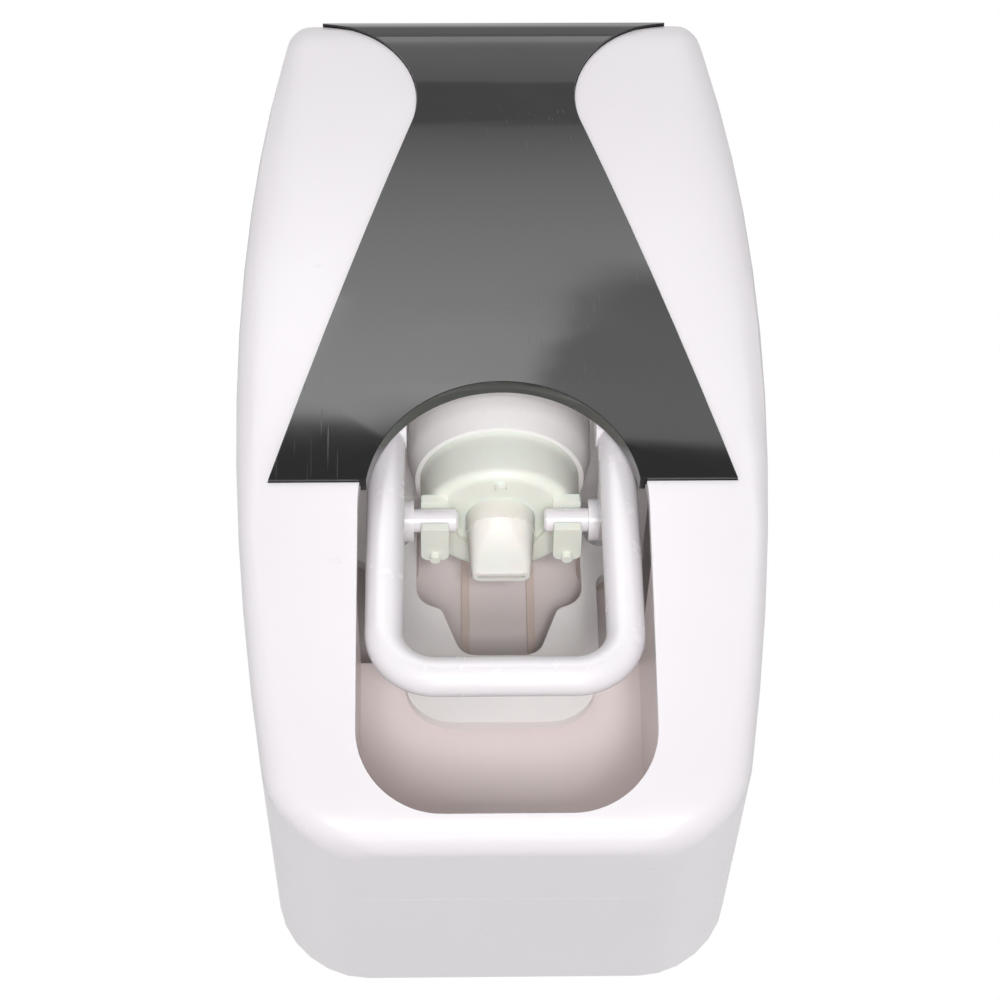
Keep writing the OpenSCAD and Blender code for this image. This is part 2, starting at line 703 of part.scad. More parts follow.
// The tip's corners are rounded in two rings, and the rest swells from the lips to the neck
bill_rings = concat(
    [bill_ring(-bill_len, bill_half - bill_round, bill_deep - 0.3),
     bill_ring(0.3 * bill_round - bill_len, bill_half - 0.3 * bill_round, bill_deep - 0.1)],
    [for (i = [bill_steps:-1:0]) let (u = i / bill_steps)
        bill_ring(bill_top + (bill_round - bill_len - bill_top) * u, bill_r + (bill_half - bill_r) * u,
                  bill_deep + (bill_r - bill_deep) * pow(1 - u, 1.6))]);
module outlet_nozzle() {
    color("#f2ede6") placed() in_pump() difference() {
        union() {
            translate([0, 0, floor_t]) cylinder(r = nozzle_flange_r, h = nozzle_flange_t);
            translate([0, 0, -neck_len]) cylinder(r = neck_r1, h = neck_len + floor_t);
            loft(bill_rings);
        }
        translate([0, 0, 0.6 - neck_len]) cylinder(r = bore_r, h = big);
        translate([-bore_half, 0, 0]) rotate([90, 0, 90]) linear_extrude(2 * bore_half)
            polygon([[-1.9, 0.8 - neck_len], [-bill_slit, -bill_len - 1], [bill_slit, -bill_len - 1],
                     [1.9, 0.8 - neck_len]]);
    }
}
module nozzle_retainer() {
    color("#e9e6e4") placed() in_pump() translate([0, 0, floor_t + 1]) difference() {
        cylinder(r = retainer_r, h = 1.4);
        translate([0, 0, -1]) cylinder(r = 4, h = 4);
    }
}

// Return spring between the cup's floor and the valve plate: one tube along a helix
spring_r = 8.6;
wire_r = 0.5;
spring_turns = 6;
rings_per_turn = 12;
wire_sides = 6;
spring_low = floor_t + wire_r + 0.05;
spring_high = valve_z - wire_r - 0.05;
spring_rings = spring_turns * rings_per_turn;
// The first and the last turn lie nearly flat, as ground ends do
function spring_rise(u) = u < 1 ? 0.12 * u : u > spring_turns - 1 ? 1 - 0.12 * (spring_turns - u)
                          : 0.12 + 0.76 * (u - 1) / (spring_turns - 2);
function spring_z(u) = spring_low + (spring_high - spring_low) * spring_rise(u);
function spring_ring(i) = let (u = i / rings_per_turn, a = 360 * u)
    [for (k = [0:wire_sides - 1]) let (b = 360 * k / wire_sides, r = spring_r + wire_r * cos(b))
        [r * cos(a), r * sin(a), spring_z(u) + wire_r * sin(b)]];
echo(spring_least_gap = (spring_z(1) - spring_z(0)) - 2 * wire_r);
module return_spring() {
    color("#a9abae") placed() in_pump() loft([for (i = [0:spring_rings]) spring_ring(i)]);
}

// Push lever: a U of round bar that hangs on two pivots, with a lug on each arm for the lift pins
arm_x = arm_span / 2;
lever_lean = atan((bar_y - pivot_y) / (pivot_z - bar_z));
lever_len = norm([bar_y - pivot_y, pivot_z - bar_z]);
eye_r = 3.4;
eye_half = bar_d / 2 + 0.2;
lug_in = arm_x - bar_d / 2 + 0.25;
lug_t = 2.2;
module in_lever() translate([0, -pivot_y, pivot_z]) rotate([-lever_lean, 0, 0]) children();
module push_lever() {
    color("#f4f0f4") placed() difference() {
        union() {
            in_lever() {
                both_sides() {
                    translate([arm_x, 0, bend_r - lever_len]) cylinder(r = bar_d / 2, h = lever_len - bend_r);
                    translate([arm_x - bend_r, 0, bend_r - lever_len]) rotate([90, 0, 0])
                        rotate([0, 0, -90]) rotate_extrude(angle = 90)
                            translate([bend_r, 0]) circle(d = bar_d);
                    x_eye();
                }
                translate([0, 0, -lever_len]) x_rod(bar_d / 2, bend_r - arm_x, arm_x - bend_r);
            }
            both_sides() lever_lug();
        }
        translate([0, -pivot_y, pivot_z]) x_rod(pivot_d / 2 + run_gap, -40, 40);
        both_sides() translate([0, lift_world[0], lift_world[1]]) x_rod(1.4, 10, arm_x);
    }
}
module x_eye() x_rod(eye_r, arm_x - eye_half, arm_x + eye_half);
module lever_lug() {
    // The lug runs from the arm back to the lift pin
    z = lift_world[1];
    y = lift_world[0];
    y_arm = -(pivot_y + (pivot_z - z) * tan(lever_lean));
    translate([lug_in, 0, 0]) rotate([90, 0, 90]) linear_extrude(lug_t) {
        polygon([[y_arm, z + 4.5], [y, z + 3], [y, z - 3], [y_arm, z - 5.5]]);
        translate([y, z]) circle(r = 3);
    }
}
// Lift pins: shank in the lug, collar against it and the rod that sits in the cup's hook
lift_tip = 6.2;
collar_r = 3;
collar_t = 1.4;
module lift_pins() {
    color("#f4f0f4") placed() both_sides() translate([0, lift_world[0], lift_world[1]]) {
        x_rod(lift_d / 2, lift_tip + 0.3, lug_in);
        translate([lift_tip + 0.3, 0, 0]) rotate([0, -90, 0])
            cylinder(r1 = lift_d / 2, r2 = lift_d / 2 - 0.4, h = 0.3);
        x_rod(collar_r, lug_in - collar_t, lug_in);
        x_rod(1.4, lug_in - eps, lug_in + lug_t);
    }
}
// Pivot pins through the cheeks and the lever's eyes
pin_in = lug_in + 0.6;
pin_out = bracket_half + 1;
module pivot_pins() {
    color("#b9bcc0") placed() both_sides() translate([0, -pivot_y, pivot_z]) {
        x_rod(pivot_d / 2, pin_in, pin_out);
        x_rod(pivot_d / 2 + 1, pin_out, pin_out + 0.9);
    }
}
// Spring clips that keep the pins in the cheeks
clip_t = 0.6;
module pin_clips() {
    color("#8d9094") placed() both_sides() translate([0, -pivot_y, pivot_z]) difference() {
        x_rod(pivot_d / 2 + 1.2, bracket_half, bracket_half + clip_t);
        x_rod(pivot_d / 2, bracket_half - clip_t, bracket_half + 2 * clip_t);
        translate([bracket_half - clip_t, -pivot_d / 2 + 0.2, 0]) cube([3 * clip_t, pivot_d - 0.4, pivot_d]);
    }
}

back_case();
wall_pad();
front_cover();
face_panel();
brush_well();
pump_bracket();
bracket_screws();
pump_barrel();
barrel_screws();
valve_plate();
inlet_valve();
tube_socket();
tube_adapter();
adapter_ring();
return_spring();
pump_cup();
cup_seal();
outlet_nozzle();
nozzle_retainer();
push_lever();
lift_pins();
pivot_pins();
pin_clips();
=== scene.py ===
"""Looks of a wall-mounted toothpaste dispenser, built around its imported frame."""

import logging
import math
from dataclasses import dataclass
from enum import Enum
from typing import Any, Callable, Sequence, Union

import bmesh
import bpy
from mathutils import Matrix, Vector


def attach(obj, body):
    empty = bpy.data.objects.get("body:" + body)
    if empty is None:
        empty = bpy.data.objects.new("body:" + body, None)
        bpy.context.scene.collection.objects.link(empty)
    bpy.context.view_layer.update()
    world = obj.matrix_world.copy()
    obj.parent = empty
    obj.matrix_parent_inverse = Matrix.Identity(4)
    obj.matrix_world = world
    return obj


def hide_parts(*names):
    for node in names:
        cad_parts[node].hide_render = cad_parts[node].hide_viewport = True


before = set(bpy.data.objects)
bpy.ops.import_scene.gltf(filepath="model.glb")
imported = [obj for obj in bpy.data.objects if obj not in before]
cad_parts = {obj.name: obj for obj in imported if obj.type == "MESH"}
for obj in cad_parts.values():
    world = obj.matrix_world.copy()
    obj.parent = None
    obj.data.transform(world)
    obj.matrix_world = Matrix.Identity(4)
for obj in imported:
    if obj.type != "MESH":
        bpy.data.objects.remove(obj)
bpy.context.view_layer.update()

LOG = logging.getLogger("dispenser")
MM = 0.001
Colour = tuple[float, float, float]
Point = tuple[float, float, float]
Span = tuple[float, float]
Number = Union[float, "Wire"]
Place = Callable[[Vector], bool]


# ---- shader bench -------------------------------------------------------------------------


class Wire:
    """An output socket that takes part in Python arithmetic."""

    def __init__(self, bench: "Bench", socket: bpy.types.NodeSocket) -> None:
        """Wraps a socket of one bench."""
        self.bench = bench
        self.socket = socket

    def _with(self, operation: str, first: Number, second: Number) -> "Wire":
        """Adds a Math node.

        Args:
            operation: The Math node's operation.
            first: Its first operand.
            second: Its second operand.

        Returns:
            The node's value.
        """
        node = self.bench.node("ShaderNodeMath", {"operation": operation}, {0: first, 1: second})
        return Wire(self.bench, node.outputs[0])

    def __add__(self, other: Number) -> "Wire":
        """Sum of the two values."""
        return self._with("ADD", self, other)

    def __sub__(self, other: Number) -> "Wire":
        """This value less the other."""
        return self._with("SUBTRACT", self, other)

    def __rsub__(self, other: Number) -> "Wire":
        """The other value less this one."""
        return self._with("SUBTRACT", other, self)

    def __mul__(self, other: Number) -> "Wire":
        """Product of the two values."""
        return self._with("MULTIPLY", self, other)

    def __truediv__(self, other: Number) -> "Wire":
        """Quotient of the two values."""
        return self._with("DIVIDE", self, other)

    def most(self, other: Number) -> "Wire":
        """The greater of the two values."""
        return self._with("MAXIMUM", self, other)

    def size(self) -> "Wire":
        """This value without its sign."""
        return self._with("ABSOLUTE", self, 0.0)

    __radd__ = __add__
    __rmul__ = __mul__

    def ramp(self, low: float, high: float) -> "Wire":
        """Rises from 0 at low to 1 at high, and stays within those.

        Args:
            low: Value that gives 0.
            high: Value that gives 1.

        Returns:
            The clamped share.
        """
        span = {"Value": self, "From Min": low, "From Max": high}
        node = self.bench.node("ShaderNodeMapRange", {"clamp": True}, span)
        return Wire(self.bench, node.outputs["Result"])


class Bench:
    """The nodes of one material, or of the world, under construction."""

    NOISE_ROUGHNESS = 0.55

    def __init__(self, holder: Union[bpy.types.Material, bpy.types.World]) -> None:
        """Empties the node tree of a new material or world."""
        holder.use_nodes = True
        self.holder = holder
        self.tree = holder.node_tree
        self.tree.nodes.clear()

    @classmethod
    def named(cls, name: str) -> "Bench":
        """Starts an empty material of that name."""
        return cls(bpy.data.materials.new(name))

    def node(
        self,
        kind: str,
        settings: dict[str, Any] | None = None,
        inputs: dict[Any, Any] | None = None,
    ) -> bpy.types.Node:
        """Adds a node.

        Args:
            kind: The node's type.
            settings: Its settings, which are set first.
            inputs: A value, a Wire or a socket for each named or numbered input.

        Returns:
            The node.
        """
        made = self.tree.nodes.new(kind)
        for key, value in (settings or {}).items():
            setattr(made, key, value)
        for key, value in (inputs or {}).items():
            target = made.inputs[key]
            if isinstance(value, Wire):
                self.tree.links.new(value.socket, target)
            elif isinstance(value, bpy.types.NodeSocket):
                self.tree.links.new(value, target)
            else:
                target.default_value = value
        return made

    def coordinates(self, stretch: Point = (1.0, 1.0, 1.0), turn: Point = (0.0, 0.0, 0.0)) -> Wire:
        """Object coordinates, stretched and turned.

        Args:
            stretch: Scale along each axis.
            turn: Rotation about each axis, in radians.

        Returns:
            The mapped vector.
        """
        source = self.node("ShaderNodeTexCoord").outputs["Object"]
        mapping = self.node(
            "ShaderNodeMapping", None, {"Vector": source, "Scale": stretch, "Rotation": turn}
        )
        return Wire(self, mapping.outputs["Vector"])

    def axes(self) -> tuple[Wire, Wire, Wire]:
        """The three object coordinates, in metres."""
        across, depth, height = self.node("ShaderNodeSeparateXYZ", None, {0: self.coordinates()}).outputs
        return Wire(self, across), Wire(self, depth), Wire(self, height)

    def noise(self, scale: float, detail: float = 3.0, where: Wire | None = None) -> Wire:
        """Soft noise from 0 to 1.

        Args:
            scale: Waves per metre.
            detail: Octaves.
            where: Vector it reads, or plain object coordinates.

        Returns:
            The noise value.
        """
        made = self.node(
            "ShaderNodeTexNoise",
            None,
            {
                "Vector": where or self.coordinates(),
                "Scale": scale,
                "Detail": detail,
                "Roughness": self.NOISE_ROUGHNESS,
            },
        )
        return Wire(self, made.outputs[0])

    def cells(self, scale: float) -> Wire:
        """Distance to the nearest of many scattered points.

        Args:
            scale: Points per metre along each axis.

        Returns:
            The distance, in cells.
        """
        inputs = {"Vector": self.coordinates(), "Scale": scale}
        made = self.node("ShaderNodeTexVoronoi", {"feature": "F1"}, inputs)
        return Wire(self, made.outputs["Distance"])

    def blend(self, share: Number, first: Colour, second: Colour) -> Wire:
        """Mixes two colours.

        Args:
            share: Share of the second colour.
            first: Colour at 0.
            second: Colour at 1.

        Returns:
            The mixed colour.
        """
        return self.mix(share, (*first, 1.0), (*second, 1.0))

    def mix(self, share: Number, first: Any, second: Any) -> Wire:
        """Mixes two colours, each given as a Wire or as four numbers.

        Args:
            share: Share of the second colour.
            first: Colour at 0.
            second: Colour at 1.

        Returns:
            The mixed colour.
        """
        inputs = {"Factor": share, 6: first, 7: second}
        made = self.node("ShaderNodeMix", {"data_type": "RGBA"}, inputs)
        return Wire(self, made.outputs[2])

    def specks(self, scale: float, edge: Span, patch_scale: float, share: Span) -> Wire:
        """Scattered dots that gather in patches.

        Args:
            scale: Dots per metre along each axis, before the patches thin them.
            edge: Distances from a dot's middle where it starts and ends to fade, in cells.
            patch_scale: Waves per metre of the patches.
            share: Noise values between which the patches fade in.

        Returns:
            The dots, from 0 to 1.
        """
        return (1.0 - self.cells(scale).ramp(*edge)) * self.noise(patch_scale).ramp(*share)

    def relief(self, height: Wire, depth_mm: float) -> Wire:
        """Bump from a height that runs from 0 to 1.

        Args:
            height: The height.
            depth_mm: Depth of the full height, in millimetres.

        Returns:
            The normal.
        """
        made = self.node(
            "ShaderNodeBump", None, {"Height": height, "Distance": depth_mm * MM, "Strength": 1.0}
        )
        return Wire(self, made.outputs["Normal"])

    def surface(self, inputs: dict[str, Any]) -> bpy.types.Material:
        """Closes the material with a Principled shader.

        Args:
            inputs: The shader's inputs.

        Returns:
            The material.
        """
        shader = self.node("ShaderNodeBsdfPrincipled", None, inputs)
        self.node("ShaderNodeOutputMaterial", None, {"Surface": shader.outputs[0]})
        return self.holder


# ---- finishes -----------------------------------------------------------------------------


@dataclass(frozen=True)
class Moulded:
    """Injection-moulded plastic with a faint flow tone, orange peel and a few dust specks.

    Scales are in waves per metre, the spans of the inner walls' painted shade in metres. Where an
    inner tone is given, the casing's inner walls take it as painted shade, darker and warmer.
    """

    name: str
    tone: Colour
    deep: Colour
    gloss: float = 0.3
    peel_mm: float = 0.012
    glow: float = 0.0
    dust: float = 0.1
    inside_shade: Colour | None = None
    dust_tone: Colour = (0.55, 0.52, 0.5)
    flow_scale: float = 26.0
    flow_share: Span = (0.3, 0.75)
    haze_scale: float = 240.0
    haze_depth: float = 0.12
    peel_scale: float = 1100.0
    glow_reach: float = 0.002
    ior: float = 1.5
    inner_side: Span = (0.026, 0.028)
    inner_rear: Span = (-0.004, -0.0025)
    inner_end: Span = (0.060, 0.063)

    def inner_shade_share(self, bench: Bench) -> Wire:
        """Share of painted shade: 1 on the casing's inner walls, where shade falls, and 0 on its
        outside.
        """
        across, depth, height = bench.axes()
        side = across.size().ramp(*self.inner_side)
        rear = depth.ramp(*self.inner_rear)
        ends = height.size().ramp(*self.inner_end)
        return (1.0 - side) * (1.0 - rear) * (1.0 - ends)

    def material(self) -> bpy.types.Material:
        """Builds the material."""
        bench = Bench.named(self.name)
        flow = bench.noise(self.flow_scale, 4.0)
        haze = bench.noise(self.haze_scale, 3.0)
        speck = bench.specks(520.0, (0.05, 0.11), 90.0, (0.6, 0.72))
        tone = bench.blend(flow.ramp(*self.flow_share), self.tone, self.deep)
        # Painted shade: the casing's inner walls are darkened and warmed towards the inner tone.
        if self.inside_shade:
            tone = bench.mix(self.inner_shade_share(bench), tone, (*self.inside_shade, 1.0))
        return bench.surface(
            {
                "Base Color": bench.mix(speck * self.dust, tone, (*self.dust_tone, 1.0)),
                "Roughness": (haze - 0.5) * self.haze_depth + self.gloss,
                "Normal": bench.relief(bench.noise(self.peel_scale, 2.0), self.peel_mm),
                "Subsurface Weight": self.glow,
                "Subsurface Scale": self.glow_reach,
                "IOR": self.ior,
            }
        )


@dataclass(frozen=True)
class PianoBlack:
    """High-gloss black with handling haze, hairline scratches and dust.

    Each hairline is a turn in radians with its waves per metre, drawn out by hair_stretch.
    """

    name: str
    tone: Colour = (0.010, 0.010, 0.011)
    worn: Colour = (0.045, 0.043, 0.045)
    gloss: float = 0.05
    ior: float = 1.5
    haze_depth: float = 0.07
    mark_depth: float = 0.25
    scratch_share: float = 0.6
    hairlines: tuple[Span, ...] = ((0.35, 2600.0), (-0.6, 3100.0), (1.15, 2400.0))
    hair_stretch: Point = (1.0, 1.0, 0.012)
    hair_share: Span = (0.72, 0.78)
    wave_scale: float = 70.0
    wave_mm: float = 0.02

    def material(self) -> bpy.types.Material:
        """Builds the material."""
        bench = Bench.named(self.name)
        haze = bench.noise(55.0, 5.0).ramp(0.42, 0.8)
        hair: Number = 0.0
        for turn, wave in self.hairlines:
            where = bench.coordinates(self.hair_stretch, (0.0, 0.0, turn))
            hair = bench.noise(wave, 1.0, where).ramp(*self.hair_share) + hair
        scratch = hair * bench.noise(38.0, 2.0).ramp(0.5, 0.66)
        speck = bench.specks(640.0, (0.05, 0.1), 120.0, (0.58, 0.7))
        marks = (scratch * self.scratch_share + speck).ramp(0.0, 1.0)
        return bench.surface(
            {
                "Base Color": bench.blend(marks, self.tone, self.worn),
                "Roughness": haze * self.haze_depth + marks * self.mark_depth + self.gloss,
                "Normal": bench.relief(bench.noise(self.wave_scale, 1.0), self.wave_mm),
                "IOR": self.ior,
            }
        )


@dataclass(frozen=True)
class Rubbery:
    """Soft silicone or rubber with a dull, slightly mottled skin."""

    name: str
    tone: Colour
    deep: Colour
    gloss: float = 0.5
    glow: float = 0.1
    mottle_scale: float = 180.0
    mottle_share: Span = (0.35, 0.7)
    mottle_depth: float = 0.15
    skin_scale: float = 900.0
    skin_mm: float = 0.02
    glow_reach: float = 0.0025
    ior: float = 1.41

    def material(self) -> bpy.types.Material:
        """Builds the material."""
        bench = Bench.named(self.name)
        mottle = bench.noise(self.mottle_scale, 4.0)
        return bench.surface(
            {
                "Base Color": bench.blend(mottle.ramp(*self.mottle_share), self.tone, self.deep),
                "Roughness": (mottle - 0.5) * self.mottle_depth + self.gloss,
                "Normal": bench.relief(bench.noise(self.skin_scale, 2.0), self.skin_mm),
                "Subsurface Weight": self.glow,
                "Subsurface Scale": self.glow_reach,
                "IOR": self.ior,
            }
        )


@dataclass(frozen=True)
class Foam:
    """Closed-cell adhesive foam."""

    name: str
    tone: Colour
    pore: Colour
    gloss: float = 0.82
    pore_scale: float = 1500.0
    pore_edge: Span = (0.1, 0.6)
    pore_mm: float = 0.12
    pore_gloss: float = 0.1

    def material(self) -> bpy.types.Material:
        """Builds the material."""
        bench = Bench.named(self.name)
        pores = bench.cells(self.pore_scale).ramp(*self.pore_edge)
        return bench.surface(
            {
                "Base Color": bench.blend(pores, self.pore, self.tone),
                "Roughness": pores * self.pore_gloss + self.gloss,
                "Normal": bench.relief(pores, self.pore_mm),
            }
        )


@dataclass(frozen=True)
class Plated:
    """Plated steel with fine drawing marks."""

    name: str
    tone: Colour
    shade: Colour
    gloss: float = 0.26
    mark_scale: float = 1800.0
    mark_stretch: Point = (0.15, 1.0, 1.0)
    mark_depth: float = 0.16
    mark_mm: float = 0.004

    def material(self) -> bpy.types.Material:
        """Builds the material."""
        bench = Bench.named(self.name)
        marks = bench.noise(self.mark_scale, 2.0, bench.coordinates(self.mark_stretch))
        return bench.surface(
            {
                "Base Color": bench.blend(marks, self.tone, self.shade),
                "Roughness": (marks - 0.5) * self.mark_depth + self.gloss,
                "Normal": bench.relief(marks, self.mark_mm),
                "Metallic": 1.0,
            }
        )


class Finish(Enum):
    """The finishes. Each is named for the record's material slot that it stands for.

    The cover, the rear case and the well share one slot. The case differs from the cover only by
    painted shade on its inner walls, and the well's warmer tone is painted shade on the same
    white plastic.
    """

    WHITE_ABS = Moulded("white_abs", (0.890, 0.856, 0.886), (0.872, 0.832, 0.866), 0.30)
    # Same white as the cover, with painted shade on the casing's inner walls.
    CASE_WHITE_SHADED_INSIDE = Moulded(
        "white_abs",
        (0.890, 0.856, 0.886),
        (0.872, 0.832, 0.866),
        0.30,
        inside_shade=(0.740, 0.620, 0.560),
    )
    # Painted shade: the well's warm, pinkish white stands for shade and warm bounce on the same plastic.
    WELL_WHITE_SHADED = Moulded("white_abs", (0.920, 0.835, 0.825), (0.905, 0.812, 0.800), 0.34)
    BLACK_GLOSS = PianoBlack("black_gloss")
    INNER_WHITE = Moulded("inner_white", (0.960, 0.935, 0.928), (0.945, 0.918, 0.910), 0.34)
    LEVER_WHITE = Moulded(
        "lever_white",
        (0.860, 0.832, 0.860),
        (0.845, 0.812, 0.842),
        0.26,
        0.004,
        glow=0.05,
        dust=0.0,
    )
    PALE_GREEN = Moulded("pale_green", (0.895, 0.920, 0.835), (0.880, 0.908, 0.812), 0.36, glow=0.2)
    WARM_WHITE = Rubbery("warm_white", (0.870, 0.842, 0.800), (0.840, 0.806, 0.760), 0.42, 0.25)
    SILICONE = Rubbery("silicone", (0.700, 0.680, 0.620), (0.660, 0.640, 0.580))
    RUBBER = Rubbery("rubber", (0.600, 0.570, 0.520), (0.560, 0.530, 0.480), 0.6, 0.05)
    FOAM = Foam("foam", (0.350, 0.360, 0.380), (0.180, 0.185, 0.200))
    STEEL = Plated("steel", (0.620, 0.620, 0.640), (0.500, 0.500, 0.520))
    SPRING_STEEL = Plated("spring_steel", (0.500, 0.500, 0.520), (0.400, 0.400, 0.420), 0.32)


class Paint:
    """Makes each finish once and hands it out."""

    def __init__(self) -> None:
        """Starts with nothing made."""
        self.made: dict[Finish, bpy.types.Material] = {}

    def of(self, finish: Finish) -> bpy.types.Material:
        """The material of a finish."""
        if finish not in self.made:
            self.made[finish] = finish.value.material()
        return self.made[finish]


# ---- pieces -------------------------------------------------------------------------------


@dataclass
class Workshop:
    """Turns meshes into pieces that ride on the frame. Angles are in radians, weld in metres."""

    paint: Paint
    crease: float = math.radians(32)
    sharp: float = math.radians(50)
    flat: float = math.radians(0.3)
    weld: float = 2e-6
    segments: int = 2

    def shade(self, work: bmesh.types.BMesh) -> None:
        """Smooths every face and keeps a hard edge where two faces turn by more than the crease."""
        for face in work.faces:
            face.smooth = True
        for edge in work.edges:
            edge.smooth = not (edge.is_manifold and edge.calc_face_angle(0.0) > self.crease)

    def piece(
        self, name: str, work: bmesh.types.BMesh, body: str, finish: Finish, stands_for: str
    ) -> bpy.types.Object:
        """Makes a piece of the object.

        Args:
            name: The piece's name.
            work: Its mesh, which is freed here.
            body: CAD body that it rides on.
            finish: Its finish.
            stands_for: CAD node that it replaces.

        Returns:
            The piece's object.
        """
        self.shade(work)
        mesh = bpy.data.meshes.new(name)
        work.to_mesh(mesh)
        work.free()
        made = bpy.data.objects.new(name, mesh)
        bpy.context.scene.collection.objects.link(made)
        mesh.materials.append(self.paint.of(finish))
        even = made.modifiers.new("even_normals", "WEIGHTED_NORMAL")
        even.keep_sharp = True
        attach(made, body)
        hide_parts(stands_for)
        LOG.info("%s rides on %s", name, body)
        return made

    def from_node(self, node: str) -> bmesh.types.BMesh:
        """A merged copy of a CAD node's mesh, with its flat faces joined.

        Args:
            node: The CAD node.

        Returns:
            The copy.
        """
        work = bmesh.new()
        work.from_mesh(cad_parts[node].data)
        bmesh.ops.remove_doubles(work, verts=work.verts, dist=self.weld)
        verts, edges = work.verts[:], work.edges[:]
        bmesh.ops.dissolve_limit(work, angle_limit=self.flat, verts=verts, edges=edges)
        return work

    def soften(self, work: bmesh.types.BMesh, width_mm: float, where: Place | None) -> None:
        """Rounds the sharp edges of a mesh.

        Args:
            work: The mesh.
            width_mm: Width of the rounding.
            where: Says of an edge's middle, in millimetres, whether it is rounded. None rounds all.
        """
        edges = [
            e
            for e in work.edges
            if e.is_manifold
            and e.calc_face_angle(0.0) > self.sharp
            and (where is None or where((e.verts[0].co + e.verts[1].co) / (2 * MM)))
        ]
        if not edges:
            return
        bmesh.ops.bevel(
            work,
            geom=edges,
            offset=width_mm * MM,
            offset_type="OFFSET",
            segments=self.segments,
            profile=0.5,
            affect="EDGES",
            clamp_overlap=True,
            material=-1,
        )

    def dress(
        self, node: str, body: str, finish: Finish, soft: Sequence[tuple[float, Place | None]] = ()
    ) -> bpy.types.Object:
        """Stands a smoother copy in for a CAD node.

        Args:
            node: The CAD node.
            body: Body that it rides on.
            finish: Its finish.
            soft: Width in millimetres and place of each rounding.

        Returns:
            The piece.
        """
        work = self.from_node(node)
        for width_mm, where in soft:
            self.soften(work, width_mm, where)
        return self.piece(f"{node}_skin", work, body, finish, node)


@dataclass
class Casing:
    """Rear case, front cover, panel, brush well and wall pad, with sizes in millimetres."""

    shop: Workshop
    edge_mm: float = 0.25
    seam_mm: float = 0.3
    rim_mm: float = 0.7
    panel_edge_mm: float = 0.3
    parting_y: float = -32.0
    parting_slack: float = 0.05
    rim_half: float = 21.4
    rim_top: float = -20.5
    rim_front: float = -50.0

    def on_seam(self, place: Vector) -> bool:
        """Whether an edge lies on the parting plane."""
        return abs(place.y - self.parting_y) < self.parting_slack

    def on_rim(self, place: Vector) -> bool:
        """Whether an edge lies on the brush opening's outer rim, below the panel."""
        return abs(place.x) < self.rim_half and place.z < self.rim_top and place.y < self.rim_front

    def build(self) -> None:
        """Builds the sub-assembly."""
        seam = (self.seam_mm, self.on_seam)
        self.shop.dress("back_case", "casing", Finish.CASE_WHITE_SHADED_INSIDE, [seam])
        rim = (self.rim_mm, self.on_rim)
        self.shop.dress("front_cover", "cover", Finish.WHITE_ABS, [seam, rim])
        self.shop.dress("face_panel", "cover", Finish.BLACK_GLOSS, [(self.panel_edge_mm, None)])
        self.shop.dress("brush_well", "casing", Finish.WELL_WHITE_SHADED)
        self.shop.dress("wall_pad", "casing", Finish.FOAM, [(self.edge_mm, None)])


@dataclass
class Pump:
    """Bracket, barrel, valve, adapter and return spring."""

    shop: Workshop

    def build(self) -> None:
        """Builds the sub-assembly."""
        plain = {
            "pump_bracket": Finish.INNER_WHITE,
            "pump_barrel": Finish.INNER_WHITE,
            "valve_plate": Finish.INNER_WHITE,
            "tube_socket": Finish.INNER_WHITE,
            "adapter_ring": Finish.INNER_WHITE,
            "inlet_valve": Finish.SILICONE,
            "tube_adapter": Finish.RUBBER,
            "bracket_screws": Finish.STEEL,
            "barrel_screws": Finish.STEEL,
            "pivot_pins": Finish.STEEL,
            "pin_clips": Finish.SPRING_STEEL,
            "return_spring": Finish.SPRING_STEEL,
        }
        for node, finish in plain.items():
            self.shop.dress(node, "casing", finish)


@dataclass
class Cup:
    """Sliding cup with its seal, nozzle and retainer."""

    shop: Workshop

    def build(self) -> None:
        """Builds the sub-assembly."""
        self.shop.dress("pump_cup", "cup", Finish.PALE_GREEN)
        self.shop.dress("cup_seal", "cup", Finish.RUBBER)
        self.shop.dress("outlet_nozzle", "cup", Finish.WARM_WHITE)
        self.shop.dress("nozzle_retainer", "cup", Finish.INNER_WHITE)


@dataclass
class Lever:
    """Push lever with its lift pins."""

    shop: Workshop

    def build(self) -> None:
        """Builds the sub-assembly."""
        self.shop.dress("push_lever", "lever", Finish.LEVER_WHITE)
        self.shop.dress("lift_pins", "lever", Finish.LEVER_WHITE)


# ---- studio -------------------------------------------------------------------------------


def placed(name: str, data: Any) -> bpy.types.Object:
    """Puts a mesh, lamp or camera into the scene as an object of that name."""
    made = bpy.data.objects.new(name, data)
    bpy.context.scene.collection.objects.link(made)
    return made


def flat_square(name: str, half: float, turn: Matrix, at: Point, steps: int) -> bpy.types.Object:
    """Flat square for the studio.

    Args:
        name: Name of the mesh and the object.
        half: Half its side, in metres.
        turn: Turns it from lying flat.
        at: Place of its middle, in metres.
        steps: Faces along each side.

    Returns:
        The object, without a material.
    """
    work = bmesh.new()
    bmesh.ops.create_grid(work, x_segments=steps, y_segments=steps, size=half, matrix=turn)
    bmesh.ops.translate(work, verts=work.verts, vec=at)
    mesh = bpy.data.meshes.new(name)
    work.to_mesh(mesh)
    work.free()
    return placed(name, mesh)


@dataclass(frozen=True)
class SoftLamp:
    """Square lamp that faces the object: place and side in metres, power in watts."""

    name: str
    place: Point
    size: float
    watts: float

    def build(self) -> None:
        """Adds the lamp."""
        data = bpy.data.lights.new(self.name, "AREA")
        data.shape = "SQUARE"
        data.size = self.size
        data.energy = self.watts
        made = placed(self.name, data)
        made.location = self.place
        made.rotation_euler = Vector(self.place).to_track_quat("Z", "Y").to_euler()


